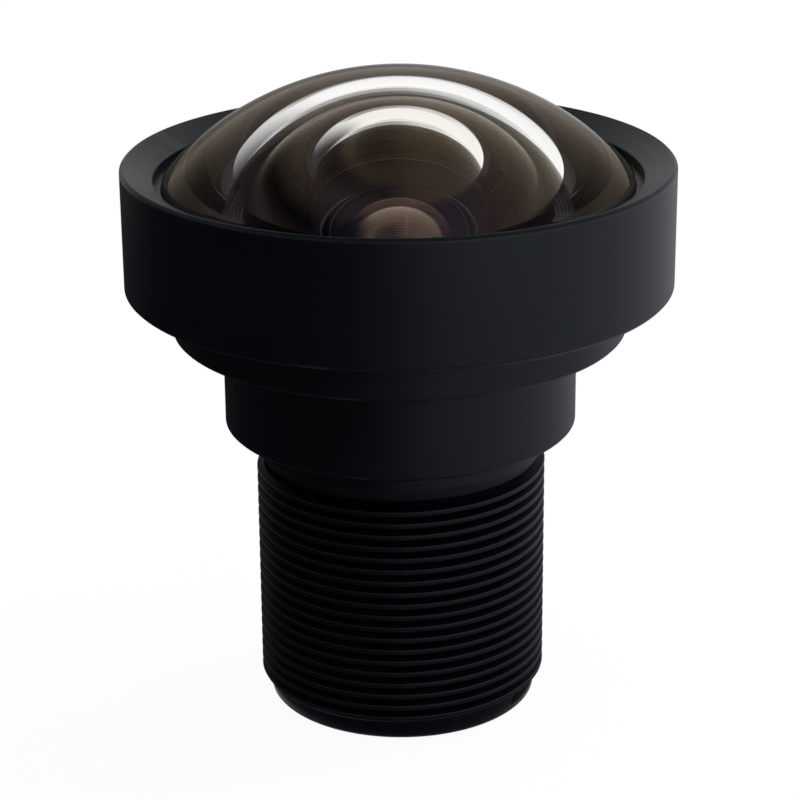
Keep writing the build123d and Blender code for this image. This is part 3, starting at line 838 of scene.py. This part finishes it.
surround.visible_diffuse = False
surround.visible_shadow = False
cloth, tree, shader = new_material("surround_cloth")
split, flat = place_and_flat(tree)
reach = node(tree, "VectorMath", operation="LENGTH")
heading = node(tree, "VectorMath", operation="NORMALIZE")
tree.links.new(flat, reach.inputs[0])
tree.links.new(flat, heading.inputs[0])


def facing(direction):
    """How far a place lies towards that direction, from -1 to 1."""
    toward = node(tree, "VectorMath", operation="DOT_PRODUCT")
    toward.inputs[1].default_value = direction
    tree.links.new(heading.outputs[0], toward.inputs[0])
    return toward.outputs["Value"]


table = smooth_step(tree, reach.outputs["Value"], TABLE_FAR, TABLE_FAR * TABLE_SOLID_SHARE)
card = smooth_step(tree, facing(CARD_SIDE), *CARD_COSINES)
card_height = smooth_step(tree, split.outputs["Z"], CARD_TOP, CARD_TOP * CARD_SOLID_SHARE)
low_card = smooth_step(tree, facing(BEHIND), *LOW_CARD_COSINES, LOW_CARD_DENSITY)
low_card_height = smooth_step(tree, split.outputs["Z"], LOW_CARD_TOP, LOW_CARD_SOLID_Z)
side_card = combined(tree, "MULTIPLY", card, card_height)
back_card = combined(tree, "MULTIPLY", low_card, low_card_height)
cover = combined(tree, "MAXIMUM", combined(tree, "MAXIMUM", side_card, table), back_card)
roof_leftward = smooth_step(tree, split.outputs["X"], RIGHT_EDGE, LEFT_EDGE)
table_leftward = smooth_step(tree, split.outputs["X"], RIGHT_EDGE, TABLE_LEFT_EDGE)
roof_shade = two_tones(tree, roof_leftward, ROOF_RIGHT_SHADE, ROOF_LEFT_SHADE)
table_shade = two_tones(tree, table_leftward, TABLE_RIGHT_SHADE, TABLE_LEFT_SHADE)
height = smooth_step(tree, split.outputs["Z"], CARD_TOP * ROOF_BLEND_SHARE, CARD_TOP)
glow = node(tree, "Emission")
tree.links.new(blend(tree, height, table_shade, roof_shade), glow.inputs["Color"])
clear = node(tree, "BsdfTransparent")
mixed = node(tree, "MixShader")
tree.links.new(cover, mixed.inputs[0])
tree.links.new(clear.outputs[0], mixed.inputs[1])
tree.links.new(glow.outputs[0], mixed.inputs[2])
tree.links.new(mixed.outputs[0], tree.nodes["Material Output"].inputs["Surface"])
surround.data.materials.append(cloth)

# The one lamp, a square softbox on the right and behind, which reflections and the glass don't show.
# Azimuth 0 is straight behind the lens and 90 on the right.
LAMP_AZIMUTH = math.radians(60)
LAMP_ELEVATION = math.radians(45)
LAMP_DISTANCE = 0.3
LAMP_WIDTH = 0.15
LAMP_RADIANCE = 6.0
LAMP_AIM = Vector((0, 0, 0.015))
level_part = math.cos(LAMP_ELEVATION)
toward = Vector((
    math.sin(LAMP_AZIMUTH) * level_part, math.cos(LAMP_AZIMUTH) * level_part, math.sin(LAMP_ELEVATION),
))
light = bpy.data.lights.new("key", "AREA")
light.size = LAMP_WIDTH
light.energy = LAMP_RADIANCE * LAMP_WIDTH * LAMP_WIDTH * math.pi
key = bpy.data.objects.new("key", light)
bpy.context.scene.collection.objects.link(key)
key.matrix_world = toward.to_track_quat("Z", "Y").to_matrix().to_4x4()
key.location = LAMP_AIM + toward * LAMP_DISTANCE
key.visible_glossy = False
key.visible_transmission = False

# Camera, where the photograph was taken from
CAMERA_ELEVATION = math.radians(20.4995)
CAMERA_ROLL = math.radians(-0.4694)
CAMERA_DISTANCE = 0.1045509
CAMERA_TARGET_Z = 0.0126819
FOCAL_PX = 2543.9332
IMAGE_PX = 800
SHIFT_PX = 0.34
SENSOR_WIDTH = 36
NEAREST = 0.001
GLASS_BOUNCES = 24
MIRROR_BOUNCES = 12
back = Vector((0, -math.cos(CAMERA_ELEVATION), math.sin(CAMERA_ELEVATION)))
up = Vector((0, math.sin(CAMERA_ELEVATION), math.cos(CAMERA_ELEVATION)))
right = Vector((1, 0, 0))
rolled_right = right * math.cos(CAMERA_ROLL) + up * math.sin(CAMERA_ROLL)
rolled_up = -right * math.sin(CAMERA_ROLL) + up * math.cos(CAMERA_ROLL)
camera = bpy.data.objects.new("camera", bpy.data.cameras.new("camera"))
bpy.context.scene.collection.objects.link(camera)
camera.matrix_world = Matrix((rolled_right, rolled_up, back)).transposed().to_4x4()
camera.location = Vector((0, 0, CAMERA_TARGET_Z)) + back * CAMERA_DISTANCE
camera.data.sensor_width = SENSOR_WIDTH
camera.data.lens = FOCAL_PX / IMAGE_PX * SENSOR_WIDTH
camera.data.shift_x = -SHIFT_PX / IMAGE_PX
camera.data.clip_start = NEAREST
bpy.context.scene.camera = camera

bpy.context.scene.view_settings.view_transform = "Standard"
bpy.context.scene.cycles.max_bounces = GLASS_BOUNCES
bpy.context.scene.cycles.transmission_bounces = GLASS_BOUNCES
bpy.context.scene.cycles.glossy_bounces = MIRROR_BOUNCES
